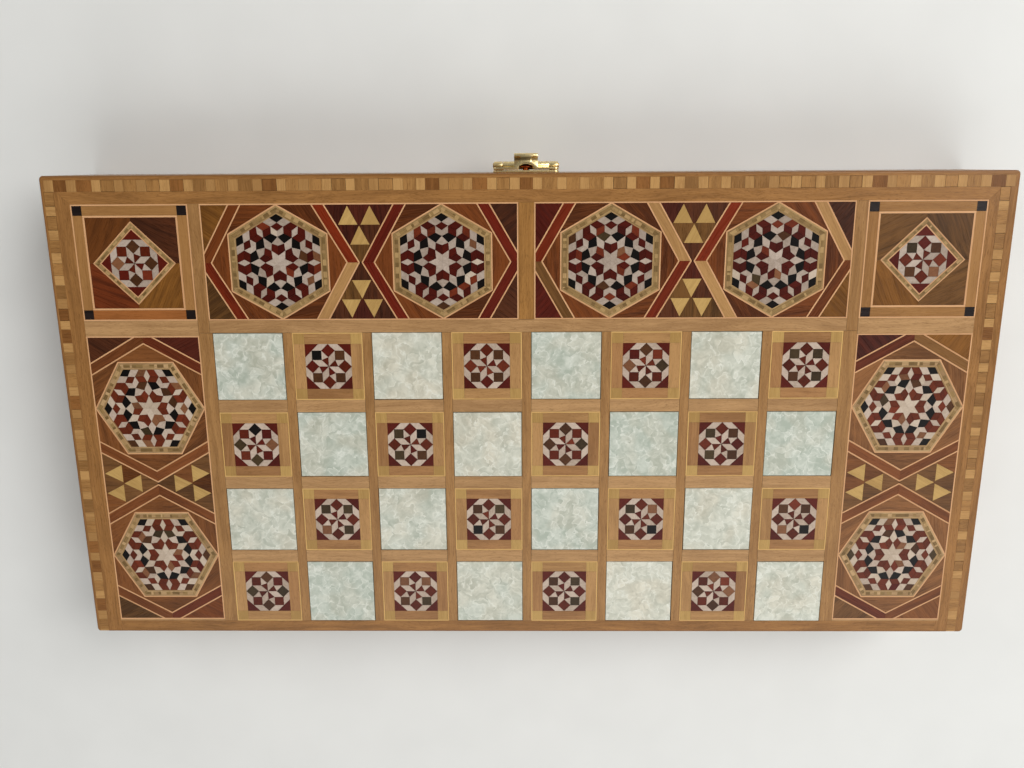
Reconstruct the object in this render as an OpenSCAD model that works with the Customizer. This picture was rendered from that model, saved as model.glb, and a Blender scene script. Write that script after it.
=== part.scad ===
// Folding backgammon and chess box in inlaid wood, stored closed and lying flat.
// The origin is the centre of the underside. The clasp is at -Y and the hinges are at +Y.
// The base is the lid turned half a turn about a line along Y through the meeting face.

/* [Box] */
// Length of the box along the hinge line
board_w = 492; // [450:1:600]
// Depth of the closed box, from the clasp edge to the hinge edge
board_d = 254; // [240:1:310]
// Height of one half
half_h = 30; // [25:0.5:40]
// Thickness of the side walls
wall_t = 16; // [14:0.5:20]
// Thickness of the plywood panel
panel_t = 5; // [3:0.5:7]
// Thickness of the inlaid face
skin_t = 2; // [1.5:0.1:3]
// Thickness of the playing board inside
field_t = 2; // [1.5:0.1:3]

/* [Face layout] */
// Width of the plain rim on the face
rim_w = 14.3; // [11:0.1:14.8]
// Breadth of the border panels, and side of the square corner panels
panel_b = 59.8; // [52:0.1:62]
// Strip between a corner panel and a front panel
strip_x = 5.9; // [3:0.1:7]
// Strip between the two front panels
mid_strip = 8; // [4:0.1:12]
// Strip between a corner panel and a side panel
strip_y = 8.2; // [4:0.1:12]
// Strip between a side panel and the hinge edge
end_strip = 7.8; // [7.5:0.1:12]
// Strip between a side panel and the first chess square
field_strip = 7.15; // [6:0.05:9]
// Strip between the front panels and the first row of squares
row_strip = 6.65; // [4:0.05:9]
// Rim strip behind the last row of squares
back_strip = 6.9; // [6:0.05:8.5]
// Strip between two columns of squares
bar_x = 4.9; // [3:0.1:7]
// Strip between two rows of squares
bar_y = 6.9; // [4:0.1:8]
// Gap of a glued joint between two inlaid pieces
glue = 0.05; // [0.03:0.01:0.1]

/* [Inlay] */
// Side of a rosette tile
rosette_w = 24.3; // [18:0.1:28]
// Width of a hexagon frame across its flats
hex_w = 51.4; // [44:0.1:51.7]
// Width of a star hexagon across its flats
star_w = 42.9; // [36:0.1:43.6]
// How far a hexagon stands outward of its panel's quarter point
hex_shift = 1.5; // [0:0.1:3]
// Breadth of a chevron band, measured along the panel
chevron_w = 6.2; // [4:0.1:8]
// Half the gap where two chevrons meet
chevron_gap = 0.8; // [0.4:0.1:3]
// Base of a gold triangle
tri_w = 9.6; // [6:0.1:9.8]
// Height of a gold triangle
tri_h = 9.2; // [6:0.1:9.4]
// Offset of the outer gold triangles from the crossing
tri_x = 5.7; // [5.2:0.1:5.8]
// Distance of the first row of gold triangles from the panel's edge
tri_in = 2; // [1:0.1:3]
// Gap between the two rows of gold triangles
tri_gap = 1; // [0.5:0.1:2]
// Width of the band round a corner panel, and side of its ebony blocks
corner_band = 6.6; // [5:0.1:8]
// Side of the turned square frame in a corner panel
diamond_w = 30.4; // [29:0.1:32]
// Plain lip outside the front row of edge blocks
block_lip = 2.2; // [1:0.1:2.5]
// Breadth of the front row of edge blocks
block_b = 5.8; // [4:0.1:7]
// Plain lip outside the side row of edge blocks at +X
right_lip = 1.7; // [1:0.1:4.5]
// Plain lip outside the side row of edge blocks at -X
left_lip = 4.2; // [1:0.1:4.5]
// Breadth of the side rows of edge blocks
side_b = 5; // [4:0.1:6]
// Length of the last light block of a side row, cut off at the back
side_chip = 1.6; // [1.2:0.1:4]
// Length of a light edge block
light_block = 4.9; // [3:0.1:6]
// Wanted spacing of the light edge blocks
block_step = 11.8; // [9:0.1:15]
// Depth of the edge blocks
block_t = 1.6; // [1:0.1:2.5]

/* [Playing board] */
// Length of a point
point_l = 180; // [140:1:190]
// Gap between two points at their base
point_gap = 2.3; // [1:0.1:5]
// Distance of a point's base from the end wall
point_in = 3; // [1:0.5:8]
// Depth of the inlaid points
point_t = 0.8; // [0.5:0.1:1.2]

/* [Hinges] */
// Distance of each hinge from the middle
hinge_x = 150; // [60:1:170]
// Length of a hinge
hinge_l = 50; // [40:1:60]
// Breadth of a hinge leaf
leaf_b = 13; // [11:0.5:13.5]
// Thickness of a hinge leaf
leaf_t = 1.2; // [0.8:0.1:1.6]
// Radius of a hinge knuckle
knuckle_r = 2.6; // [2.2:0.1:3.2]
// Radius of a hinge pin
pin_r = 1.1; // [0.8:0.05:1.4]
// Distance of the hinge axis outside the back wall
axis_out = 0.2; // [0.15:0.05:0.5]
// Radial clearance of a pin in its knuckle
pin_play = 0.05; // [0.03:0.01:0.08]
// Clearance between moving metal parts
metal_gap = 0.3; // [0.2:0.05:0.5]

/* [Screws] */
// Radius of a screw head
head_r = 2.2; // [1.8:0.1:2.6]
// Radius of a screw shank
shank_r = 1.2; // [0.9:0.1:1.5]
// Straight rim of a screw head
head_rim = 0.2; // [0.1:0.05:0.3]
// Length of a screw
screw_l = 9; // [6:0.5:12]
// Width of a screw slot
slot_w = 0.5; // [0.4:0.1:0.8]
// Clearance round a screw
screw_gap = 0.05; // [0.03:0.01:0.1]

/* [Clasp] */
// Length of the clasp along the box
clasp_w = 34; // [28:0.5:44]
// Height of the leaf on the base and of the keeper plate
clasp_h = 13; // [11:0.5:16]
// Thickness of the clasp plates
plate_t = 1.2; // [0.8:0.1:1.3]
// Radius of the clasp knuckle
ck_r = 2.1; // [1.9:0.1:2.6]
// Radius of the clasp pin
cpin_r = 0.9; // [0.7:0.05:1.1]
// Distance of the clasp axis below the meeting face
ck_drop = 2.4; // [2.3:0.1:3.5]
// Length of each end knuckle
ck_end = 4.5; // [3:0.1:6]
// Length of the hasp from its axis
hasp_l = 17; // [15:0.5:20]
// Width of the hasp's arch
arch_w = 12.3; // [11:0.1:14]
// Width inside the arch
arch_in = 7.4; // [6.4:0.1:8.4]
// Height of the arch above the hasp plate's underside
arch_h = 4.4; // [4.2:0.1:5.5]
// Rise of the arch's curved top, outside
arch_rise = 3.1; // [2.5:0.1:3.3]
// Metal thickness at the crown of the arch
crown_t = 1.1; // [0.7:0.1:1.2]
// Side clearance of the stud's head in the arch
stud_gap = 0.15; // [0.1:0.05:0.3]
// Radius of the stud's neck
neck_r = 1.6; // [1.2:0.1:2]
// Radius of the rolled thumb lip
lip_r = 1.2; // [0.9:0.1:1.5]
// Width of the neck under the thumb lip
lip_neck = 5.5; // [4:0.1:7]
// Height of the neck between the arch and the thumb lip
lip_rise = 1.5; // [1:0.1:2.5]
// Thickness of the web that joins the arch and the thumb lip over their whole width
web_t = 0.8; // [0.6:0.1:1.2]
// Height of the stud above the keeper plate's lower edge
stud_up = 7.8; // [6:0.1:8]
// Distance of a screw's head from the end of its clasp plate
screw_in = 3.3; // [2.5:0.1:4]

/* [Hidden] */
$fn = 48;
eps = 0.01;

// Overshoot of a cut past the face that it opens
over = 1;

// Outer and inner lines of one half, drawn for the lid
half_w = board_w / 2;
front = -board_d / 2;
back = board_d / 2;
top_z = 2 * half_h;
skin_z = top_z - skin_t;
ledge_z = skin_z - panel_t;
field_z = ledge_z - field_t;
cavity_x = half_w - wall_t;
cavity_d = board_d - 2 * wall_t;
inner_x = half_w - rim_w;
inner_front = front + rim_w;
inner_back = back - back_strip;

// Places of the border panels
border = rim_w + panel_b;
side_x = half_w - rim_w - panel_b / 2;
front_y = front + rim_w + panel_b / 2;
front_l = (board_w - 2 * (border + strip_x) - mid_strip) / 2;
front_x = mid_strip / 2 + front_l / 2;
side_l = board_d - border - strip_y - end_strip;
side_y = front + border + strip_y + side_l / 2;

// Places of the chess squares; column 0 is at +X and row 0 is at the front
columns = 8;
rows = 4;
field_w = board_w - 2 * (border + field_strip);
tile_w = (field_w - (columns - 1) * bar_x) / columns;
row_front = front + border + row_strip;
tile_d = (inner_back - row_front - (rows - 1) * bar_y) / rows;
band_x = (tile_w - rosette_w) / 2;
band_y = (tile_d - rosette_w) / 2;
function cell_x(i) = field_w / 2 - tile_w / 2 - i * (tile_w + bar_x);
function cell_y(j) = row_front + tile_d / 2 + j * (tile_d + bar_y);
function is_pearl(i, j) = (i + j) % 2 == 0;

// Edge block rows
row_len = board_w - 2 * block_lip;
row_n = round((row_len - light_block) / block_step);
row_step = (row_len - light_block) / row_n;
side_len = board_d - block_lip - block_b;
side_n = round((side_len + light_block - side_chip) / block_step);
side_step = (side_len + light_block - side_chip) / side_n;
function side_row_x(s) = s * (half_w - (s > 0 ? right_lip : left_lip) - side_b / 2);

// Points of the playing board
points = 6;
point_step = cavity_d / points;
point_w = point_step - point_gap;

// Small sizes of the metal pieces
keeper_back = 0.9;
arch_back = 1.2;
inner_rise = 1.7;
dome_gap = 0.35;
dome_rise = 1.3;
rivet_l = 6;
corner_r = 2;
pin_rim = 0.6;
pin_cap = 0.7;
cpin_rim = 0.4;
cpin_cap = 0.6;

// Hinge line and clasp line
axis_y = back + axis_out;
segments = 5;
seg_l = hinge_l / segments;
groove_x = hinge_l / 2 + pin_cap + 2 * metal_gap;
screw_row = [-hinge_l / 3, 0, hinge_l / 3];
screw_y = back - (leaf_b + knuckle_r) / 2;
ck_z = half_h - ck_drop;
hasp_in = plate_t + metal_gap;
ck_out = hasp_in + ck_r;
hasp_end = ck_z + hasp_l;
keeper_z = half_h + metal_gap + keeper_back;
arch_z = half_h + metal_gap + arch_back;
stud_z = keeper_z + stud_up;
plate_mid = clasp_h / 2;
clasp_screw_x = clasp_w / 2 - head_r - screw_in;
leaf_top = ck_z - ck_r - metal_gap;
stud_r = arch_in / 2 - stud_gap;
crown_in = hasp_in + arch_h - crown_t;

// Radius of the circle through a chord's ends and its crown
function arc_r(half_chord, rise) = (half_chord * half_chord + rise * rise) / (2 * rise);

// Turns what is drawn for the lid into the same piece of the base
module base_side() {
    translate([0, 0, top_z]) rotate([0, 180, 0]) children();
}

module slab(z, t) {
    translate([0, 0, z]) linear_extrude(t) children();
}

module skin() {
    slab(skin_z, skin_t) children();
}

module rect(x0, x1, y0, y1) {
    translate([x0, y0]) square([x1 - x0, y1 - y0]);
}

// Turns a child drawn toward +X toward -X where s is -1
module facing(s) {
    mirror([s < 0 ? 1 : 0, 0, 0]) children();
}

module piece(w, d) {
    square([w - glue, d - glue], center = true);
}

module at_cells(pearl) {
    for (i = [0 : columns - 1], j = [0 : rows - 1])
        if (is_pearl(i, j) == pearl) translate([cell_x(i), cell_y(j)]) children();
}

module at_corners() {
    for (s = [-1, 1]) translate([s * side_x, front_y]) children();
}

module at_hinges() {
    for (s = [-1, 1]) translate([s * hinge_x, axis_y, half_h]) children();
}

// Places a child drawn in the front wall's plane, with its height away from the wall
module on_front(h) {
    translate([0, front - h, 0]) rotate([90, 0, 0]) children();
}

// Extrudes a child drawn across the box and away from the front wall along Z
module up_front(z, l) {
    translate([0, front, z]) mirror([0, 1, 0]) linear_extrude(l) children();
}

module rod(x0, x1, r) {
    translate([x0, 0, 0]) rotate([0, 90, 0]) cylinder(h = x1 - x0, r = r);
}

// A countersunk wood screw along -Z with its head's top at the origin
module screw(grow, top) {
    taper = head_rim + head_r - shank_r;
    rotate_extrude() polygon([
        [0, top], [head_r + grow, top], [head_r + grow, -head_rim],
        [shank_r + grow, -taper], [shank_r + grow, -screw_l + shank_r],
        [0, -screw_l - grow]
    ]);
}

module screw_hole() {
    screw(screw_gap, over);
}

module slotted_screw() {
    difference() {
        screw(0, 0);
        translate([-head_r - over, -slot_w / 2, -slot_w]) cube([2 * (head_r + over), slot_w, over]);
    }
}

// Places of the screws, with -Z along each screw into the wood
module at_hinge_screws() {
    for (s = [-1, 1], x = screw_row)
        translate([s * hinge_x + x, screw_y, half_h + glue]) mirror([0, 0, 1]) children();
}

module at_keeper_screws() {
    for (s = [-1, 1])
        translate([s * clasp_screw_x, front - plate_t, keeper_z + plate_mid])
            rotate([90, 0, 0]) children();
}

module at_leaf_screws() {
    for (s = [-1, 1])
        translate([s * clasp_screw_x, front - plate_t, leaf_top - plate_mid])
            rotate([90, 0, 0]) children();
}

// The walls of one half

module block_grooves() {
    slab(top_z - block_t, block_t + over) {
        rect(-row_len / 2, row_len / 2, front + block_lip, front + block_lip + block_b);
        for (s = [-1, 1])
            translate([side_row_x(s), 0])
                rect(-side_b / 2, side_b / 2, front + block_lip + block_b - eps, back + over);
    }
}

module panel_bed() {
    slab(ledge_z, panel_t + skin_t + over) rect(-inner_x, inner_x, inner_front, inner_back);
}

module front_wall() {
    difference() {
        slab(half_h, half_h) polygon([
            [-half_w, front], [half_w, front],
            [cavity_x, front + wall_t], [-cavity_x, front + wall_t]
        ]);
        panel_bed();
        block_grooves();
    }
}

module side_wall(s) {
    difference() {
        slab(half_h, half_h) polygon([
            [s * half_w, front], [s * half_w, back],
            [s * cavity_x, back], [s * cavity_x, front + wall_t]
        ]);
        panel_bed();
        block_grooves();
    }
}

module back_wall() {
    difference() {
        slab(half_h, half_h) rect(-cavity_x, cavity_x, back - wall_t, back);
        panel_bed();
        at_hinges() {
            rod(-groove_x, groove_x, knuckle_r + metal_gap);
            translate([-hinge_l / 2 - glue, -leaf_b - axis_out - glue, -over])
                cube([hinge_l + 2 * glue, leaf_b + axis_out + over, leaf_t + 2 * glue + over]);
        }
        at_hinge_screws() screw_hole();
    }
}

module panel_board() {
    slab(ledge_z, panel_t)
        rect(-inner_x + glue, inner_x - glue, inner_front + glue, inner_back - glue);
}

module point_shape(grow) {
    polygon([
        [cavity_x - point_in + grow, -point_w / 2 - grow],
        [cavity_x - point_in + grow, point_w / 2 + grow],
        [cavity_x - point_in - point_l - grow, 0]
    ]);
}

module at_points(dark) {
    for (s = [-1, 1], k = [0 : points - 1])
        if ((k % 2 == 0) == (dark == (s > 0)))
            translate([0, (k - (points - 1) / 2) * point_step]) facing(s) children();
}

module field_board() {
    difference() {
        slab(field_z, field_t - glue)
            square([2 * cavity_x - 2 * glue, cavity_d - 2 * glue], center = true);
        slab(field_z - over, point_t + over) {
            at_points(true) point_shape(glue);
            at_points(false) point_shape(glue);
        }
    }
}

module inlaid_points(dark) {
    slab(field_z, point_t - glue) at_points(dark) point_shape(0);
}

// The inlaid face

module edge_block(x0, x1, y0, y1) {
    slab(top_z - block_t + glue, block_t - glue)
        rect(x0 + glue / 2, x1 - glue / 2, y0 + glue / 2, y1 - glue / 2);
}

module edge_blocks(first, len, count) {
    y0 = front + block_lip;
    for (k = [0 : count])
        translate([-row_len / 2 + first + k * row_step, 0, 0]) edge_block(0, len, y0, y0 + block_b);
}

module side_blocks(first, len) {
    for (s = [-1, 1], k = [0 : side_n - 1]) {
        y0 = back - side_len + first + k * side_step;
        translate([side_row_x(s), 0, 0])
            edge_block(-side_b / 2, side_b / 2, y0, min(y0 + len, back));
    }
}

module light_blocks() {
    edge_blocks(0, light_block, row_n);
    side_blocks(side_step - light_block, light_block);
}

module dark_blocks() {
    edge_blocks(light_block, row_step - light_block, row_n - 1);
    side_blocks(0, side_step - light_block);
}

module long_strips() {
    g = glue / 2;
    skin() {
        for (i = [0 : columns - 2])
            translate([cell_x(i) - (tile_w + bar_x) / 2, (row_front + inner_back) / 2])
                piece(bar_x, inner_back - row_front);
        for (s = [-1, 1]) facing(s) polygon([
            [half_w - border - g, inner_front + g], [half_w - border - g, inner_back - g],
            [field_w / 2 + g, inner_back - g], [field_w / 2 + g, row_front + g],
            [half_w - border - strip_x + g, row_front + g],
            [half_w - border - strip_x + g, inner_front + g]
        ]);
        translate([0, front_y]) piece(mid_strip, panel_b);
    }
}

module cross_strips() {
    skin() {
        for (i = [0 : columns - 1], j = [0 : rows - 2])
            translate([cell_x(i), cell_y(j) + (tile_d + bar_y) / 2]) piece(tile_w, bar_y);
        translate([0, row_front - row_strip / 2])
            piece(2 * (half_w - border - strip_x), row_strip);
        for (s = [-1, 1]) translate([s * side_x, front + border + strip_y / 2])
            piece(panel_b, strip_y);
        for (s = [-1, 1]) translate([s * side_x, inner_back - (end_strip - back_strip) / 2])
            piece(panel_b, end_strip - back_strip);
    }
}

module pearl_squares() {
    skin() at_cells(true) piece(tile_w, tile_d);
}

module cell_frames() {
    skin() at_cells(false) for (s = [-1, 1]) {
        translate([s * (rosette_w + band_x) / 2, 0]) piece(band_x, rosette_w);
        translate([0, s * (rosette_w + band_y) / 2]) piece(rosette_w, band_y);
    }
}

module cell_blocks() {
    skin() at_cells(false) for (s = [-1, 1], t = [-1, 1])
        translate([s * (rosette_w + band_x) / 2, t * (rosette_w + band_y) / 2])
            piece(band_x, band_y);
}

module rosette_tiles() {
    skin() {
        at_cells(false) piece(rosette_w, rosette_w);
        at_corners() rotate(45) piece(rosette_w, rosette_w);
    }
}

// Border panels lie along X with their hexagons' points toward the long edges
module at_panels() {
    for (s = [-1, 1]) {
        translate([s * front_x, front_y]) let ($panel_l = front_l) children();
        translate([s * side_x, side_y]) rotate(90) let ($panel_l = side_l) children();
    }
}

function hex_at() = $panel_l / 4 + hex_shift;

module hexagon(w, grow) {
    rotate(30) circle(r = (w / 2 + grow) / cos(30), $fn = 6);
}

module at_hexagons() {
    for (s = [-1, 1]) translate([s * hex_at(), 0]) children();
}

module chevrons(grow) {
    edge = panel_b / 2 + over;
    run = edge * tan(30);
    outer = hex_at() - chevron_gap + grow;
    inner = outer - chevron_w - 2 * grow;
    difference() {
        intersection() {
            piece($panel_l, panel_b);
            at_hexagons() for (s = [-1, 1]) facing(s) polygon([
                [outer, 0], [outer - run, edge], [inner - run, edge],
                [inner, 0], [inner - run, -edge], [outer - run, -edge]
            ]);
        }
        at_hexagons() hexagon(hex_w, glue - grow);
    }
}

module gold_triangle(x, depth, grow) {
    y = panel_b / 2 - depth;
    polygon([
        [x, y + 2 * grow], [x - tri_w / 2 - 2 * grow, y - tri_h - grow],
        [x + tri_w / 2 + 2 * grow, y - tri_h - grow]
    ]);
}

module crossing_triangles(grow) {
    for (a = [0, 180]) rotate(a) {
        gold_triangle(-tri_x, tri_in, grow);
        gold_triangle(tri_x, tri_in, grow);
        gold_triangle(0, tri_in + tri_h + tri_gap, grow);
    }
}

module panel_grounds() {
    skin() {
        at_panels() difference() {
            piece($panel_l, panel_b);
            at_hexagons() hexagon(hex_w, glue);
            chevrons(glue);
            crossing_triangles(glue);
        }
        at_corners() difference() {
            piece(panel_b - 2 * corner_band, panel_b - 2 * corner_band);
            rotate(45) piece(diamond_w + 2 * glue, diamond_w + 2 * glue);
        }
    }
}

module chevron_bands() {
    skin() at_panels() chevrons(0);
}

module gold_triangles() {
    skin() at_panels() crossing_triangles(0);
}

module medallion_frames() {
    skin() {
        at_panels() at_hexagons() difference() {
            hexagon(hex_w, 0);
            hexagon(star_w, glue);
        }
        at_corners() rotate(45) difference() {
            piece(diamond_w, diamond_w);
            square(rosette_w + glue, center = true);
        }
    }
}

module star_hexagons() {
    skin() at_panels() at_hexagons() hexagon(star_w, 0);
}

module corner_frames() {
    skin() at_corners() for (a = [0 : 90 : 270]) rotate(a)
        translate([(panel_b - corner_band) / 2, 0]) piece(corner_band, panel_b - 2 * corner_band);
}

module ebony_blocks() {
    skin() at_corners() for (s = [-1, 1], t = [-1, 1])
        translate([s, t] * (panel_b - corner_band) / 2) piece(corner_band, corner_band);
}

// Hinges, drawn for the lid at one hinge with the axis along X

module hinge_knuckles(parity, grow, len) {
    for (k = [0 : segments - 1])
        if (k % 2 == parity) translate([(k - (segments - 1) / 2) * seg_l, 0, 0])
            rod(-len / 2, len / 2, knuckle_r + grow);
}

module hinge_leaf(parity) {
    difference() {
        union() {
            translate([-hinge_l / 2, -leaf_b - axis_out, glue]) cube([hinge_l, leaf_b, leaf_t]);
            hinge_knuckles(parity, 0, seg_l - metal_gap);
        }
        hinge_knuckles(1 - parity, metal_gap, seg_l);
        rod(-hinge_l, hinge_l, pin_r + pin_play);
    }
}

module hinge_leaves(parity) {
    difference() {
        at_hinges() hinge_leaf(parity);
        at_hinge_screws() screw_hole();
    }
}

module headed_pin(l, r, head, cap) {
    rod(-l / 2, l / 2, r);
    for (s = [-1, 1]) translate([s * (l / 2 + cap / 2), 0, 0]) rod(-cap / 2, cap / 2, head);
}

module pins() {
    at_hinges() headed_pin(hinge_l, pin_r, pin_r + pin_rim, pin_cap);
}

// Clasp

module rounded(x, z0, z1) {
    h = z1 - z0;
    translate([0, (z0 + z1) / 2]) {
        square([2 * x - 2 * corner_r, h], center = true);
        square([2 * x, h - 2 * corner_r], center = true);
        for (s = [-1, 1], t = [-1, 1])
            translate([s * (x - corner_r), t * (h / 2 - corner_r)]) circle(corner_r);
    }
}

module clasp_knuckle(x0, x1, r) {
    translate([0, front - ck_out, ck_z]) rod(x0, x1, r);
}

module keeper() {
    difference() {
        on_front(0) linear_extrude(plate_t)
            rounded(clasp_w / 2, keeper_z, keeper_z + clasp_h);
        at_keeper_screws() screw_hole();
        translate([0, front + over, stud_z]) rotate([90, 0, 0])
            cylinder(h = plate_t + 2 * over, r = neck_r + screw_gap);
    }
}

module stud() {
    rim = hasp_in + plate_t;
    crown = crown_in - dome_gap;
    big = arc_r(stud_r, dome_rise);
    translate([0, front, stud_z]) rotate([90, 0, 0]) union() {
        translate([0, 0, -rivet_l]) cylinder(h = rivet_l + rim + eps, r = neck_r);
        translate([0, 0, rim]) cylinder(h = crown - dome_rise - rim, r = stud_r);
        intersection() {
            translate([0, 0, crown - big]) sphere(big);
            translate([0, 0, rim]) cylinder(h = crown - rim + over, r = stud_r);
        }
    }
}

module leaf() {
    difference() {
        union() {
            on_front(0) linear_extrude(plate_t)
                rounded(clasp_w / 2, leaf_top - clasp_h, leaf_top);
            for (s = [-1, 1]) {
                x = s * (clasp_w - ck_end) / 2;
                translate([x - ck_end / 2, front - hasp_in - plate_t, leaf_top - corner_r])
                    cube([ck_end, hasp_in + plate_t, ck_z - leaf_top + corner_r]);
                clasp_knuckle(x - ck_end / 2, x + ck_end / 2, ck_r);
            }
        }
        clasp_knuckle(-clasp_w, clasp_w, cpin_r + pin_play);
        at_leaf_screws() screw_hole();
    }
}

module arch_section(w, base, crown, rise) {
    big = arc_r(w / 2, rise);
    intersection() {
        translate([0, crown - big]) circle(big);
        translate([-w / 2, base]) square([w, crown - base + over]);
    }
}

module hasp() {
    mid = clasp_w / 2 - ck_end - metal_gap;
    lip_z = hasp_end - 2 * lip_r;
    lip_h = hasp_in + arch_h + lip_rise + lip_r;
    difference() {
        union() {
            on_front(hasp_in) linear_extrude(plate_t) {
                rounded(clasp_w / 2, half_h + metal_gap, hasp_end);
                translate([-mid, ck_z]) square([2 * mid, half_h + metal_gap + corner_r - ck_z]);
            }
            clasp_knuckle(-mid, mid, ck_r);
            up_front(arch_z, hasp_end - arch_z)
                arch_section(arch_w, hasp_in, hasp_in + arch_h, arch_rise);
            translate([-lip_neck / 2, front - lip_h, lip_z - lip_r])
                cube([lip_neck, lip_h - hasp_in - arch_h + crown_t / 2, 2 * lip_r]);
            translate([-arch_w / 2, front - lip_h, lip_z - lip_r])
                cube([arch_w, lip_h - hasp_in - arch_h + arch_rise, web_t]);
            translate([0, front - lip_h, lip_z]) rod(-arch_w / 2, arch_w / 2, lip_r);
        }
        up_front(arch_z, hasp_l) {
            arch_section(arch_in, hasp_in + plate_t, crown_in, inner_rise);
            translate([-arch_in / 2, hasp_in - over]) square([arch_in, plate_t + over + eps]);
        }
        clasp_knuckle(-clasp_w, clasp_w, cpin_r + pin_play);
    }
}

module clasp_rod() {
    translate([0, front - ck_out, ck_z]) headed_pin(clasp_w, cpin_r, cpin_r + cpin_rim, cpin_cap);
}

// Lid nodes

module lid_front_rail() {
    color("peru") difference() {
        front_wall();
        at_keeper_screws() screw_hole();
        translate([0, front - over, stud_z]) rotate([-90, 0, 0])
            cylinder(h = rivet_l + over + screw_gap, r = neck_r + screw_gap);
    }
}

module lid_back_rail() { color("peru") back_wall(); }
module lid_left_rail() { color("peru") side_wall(-1); }
module lid_right_rail() { color("peru") side_wall(1); }
module lid_panel() { color("burlywood") panel_board(); }
module lid_field_board() { color("saddlebrown") field_board(); }
module lid_light_points() { color("wheat") inlaid_points(false); }
module lid_dark_points() { color("maroon") inlaid_points(true); }
module lid_light_blocks() { color("burlywood") light_blocks(); }
module lid_dark_blocks() { color("sienna") dark_blocks(); }
module lid_long_strips() { color("peru") long_strips(); }
module lid_cross_strips() { color("tan") cross_strips(); }
module lid_pearl_squares() { color("honeydew") pearl_squares(); }
module lid_cell_frames() { color("rosybrown") cell_frames(); }
module lid_cell_blocks() { color("goldenrod") cell_blocks(); }
module lid_rosette_tiles() { color("darkred") rosette_tiles(); }
module lid_panel_grounds() { color("brown") panel_grounds(); }
module lid_chevron_bands() { color("firebrick") chevron_bands(); }
module lid_medallion_frames() { color("darkkhaki") medallion_frames(); }
module lid_star_hexagons() { color("crimson") star_hexagons(); }
module lid_gold_triangles() { color("gold") gold_triangles(); }
module lid_corner_frames() { color("tan") corner_frames(); }
module lid_ebony_blocks() { color("black") ebony_blocks(); }

// Base nodes

module base_front_rail() {
    color("peru") difference() {
        base_side() front_wall();
        at_leaf_screws() screw_hole();
    }
}

module base_back_rail() { color("peru") base_side() back_wall(); }
module base_left_rail() { color("peru") base_side() side_wall(1); }
module base_right_rail() { color("peru") base_side() side_wall(-1); }
module base_panel() { color("burlywood") base_side() panel_board(); }
module base_field_board() { color("saddlebrown") base_side() field_board(); }
module base_light_points() { color("wheat") base_side() inlaid_points(false); }
module base_dark_points() { color("maroon") base_side() inlaid_points(true); }
module base_light_blocks() { color("burlywood") base_side() light_blocks(); }
module base_dark_blocks() { color("sienna") base_side() dark_blocks(); }
module base_long_strips() { color("peru") base_side() long_strips(); }
module base_cross_strips() { color("tan") base_side() cross_strips(); }
module base_pearl_squares() { color("honeydew") base_side() pearl_squares(); }
module base_cell_frames() { color("rosybrown") base_side() cell_frames(); }
module base_cell_blocks() { color("goldenrod") base_side() cell_blocks(); }
module base_rosette_tiles() { color("darkred") base_side() rosette_tiles(); }
module base_panel_grounds() { color("brown") base_side() panel_grounds(); }
module base_chevron_bands() { color("firebrick") base_side() chevron_bands(); }
module base_medallion_frames() { color("darkkhaki") base_side() medallion_frames(); }
module base_star_hexagons() { color("crimson") base_side() star_hexagons(); }
module base_gold_triangles() { color("gold") base_side() gold_triangles(); }
module base_corner_frames() { color("tan") base_side() corner_frames(); }
module base_ebony_blocks() { color("black") base_side() ebony_blocks(); }

// Hardware nodes

module lid_hinge_leaves() { color("gold") hinge_leaves(1); }
module base_hinge_leaves() { color("gold") base_side() hinge_leaves(0); }
module hinge_pins() { color("khaki") pins(); }
module lid_hinge_screws() { color("khaki") at_hinge_screws() slotted_screw(); }
module base_hinge_screws() { color("khaki") base_side() at_hinge_screws() slotted_screw(); }
module clasp_keeper_plate() { color("gold") keeper(); }
module clasp_stud() { color("khaki") stud(); }
module clasp_leaf() { color("gold") leaf(); }
module clasp_hasp() { color("gold") hasp(); }
module clasp_pin() { color("khaki") clasp_rod(); }
module lid_clasp_screws() { color("khaki") at_keeper_screws() slotted_screw(); }
module base_clasp_screws() { color("khaki") at_leaf_screws() slotted_screw(); }

lid_front_rail();
lid_back_rail();
lid_left_rail();
lid_right_rail();
lid_panel();
lid_field_board();
lid_light_points();
lid_dark_points();
lid_light_blocks();
lid_dark_blocks();
lid_long_strips();
lid_cross_strips();
lid_pearl_squares();
lid_cell_frames();
lid_cell_blocks();
lid_rosette_tiles();
lid_panel_grounds();
lid_chevron_bands();
lid_medallion_frames();
lid_star_hexagons();
lid_gold_triangles();
lid_corner_frames();
lid_ebony_blocks();
base_front_rail();
base_back_rail();
base_left_rail();
base_right_rail();
base_panel();
base_field_board();
base_light_points();
base_dark_points();
base_light_blocks();
base_dark_blocks();
base_long_strips();
base_cross_strips();
base_pearl_squares();
base_cell_frames();
base_cell_blocks();
base_rosette_tiles();
base_panel_grounds();
base_chevron_bands();
base_medallion_frames();
base_star_hexagons();
base_gold_triangles();
base_corner_frames();
base_ebony_blocks();
lid_hinge_leaves();
base_hinge_leaves();
hinge_pins();
lid_hinge_screws();
base_hinge_screws();
clasp_keeper_plate();
clasp_stud();
clasp_leaf();
clasp_hasp();
clasp_pin();
lid_clasp_screws();
base_clasp_screws();
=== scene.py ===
# Looks of a folding inlaid backgammon and chess box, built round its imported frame.
# Lengths are in millimetres and angles in degrees, until a mesh is written in metres. The floor
# and the lamps are in metres, and a lamp's power is in watts.
# A flat outline is a list of complex numbers x + yj that goes left round a convex shape.
import cmath
import math
import random

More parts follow.
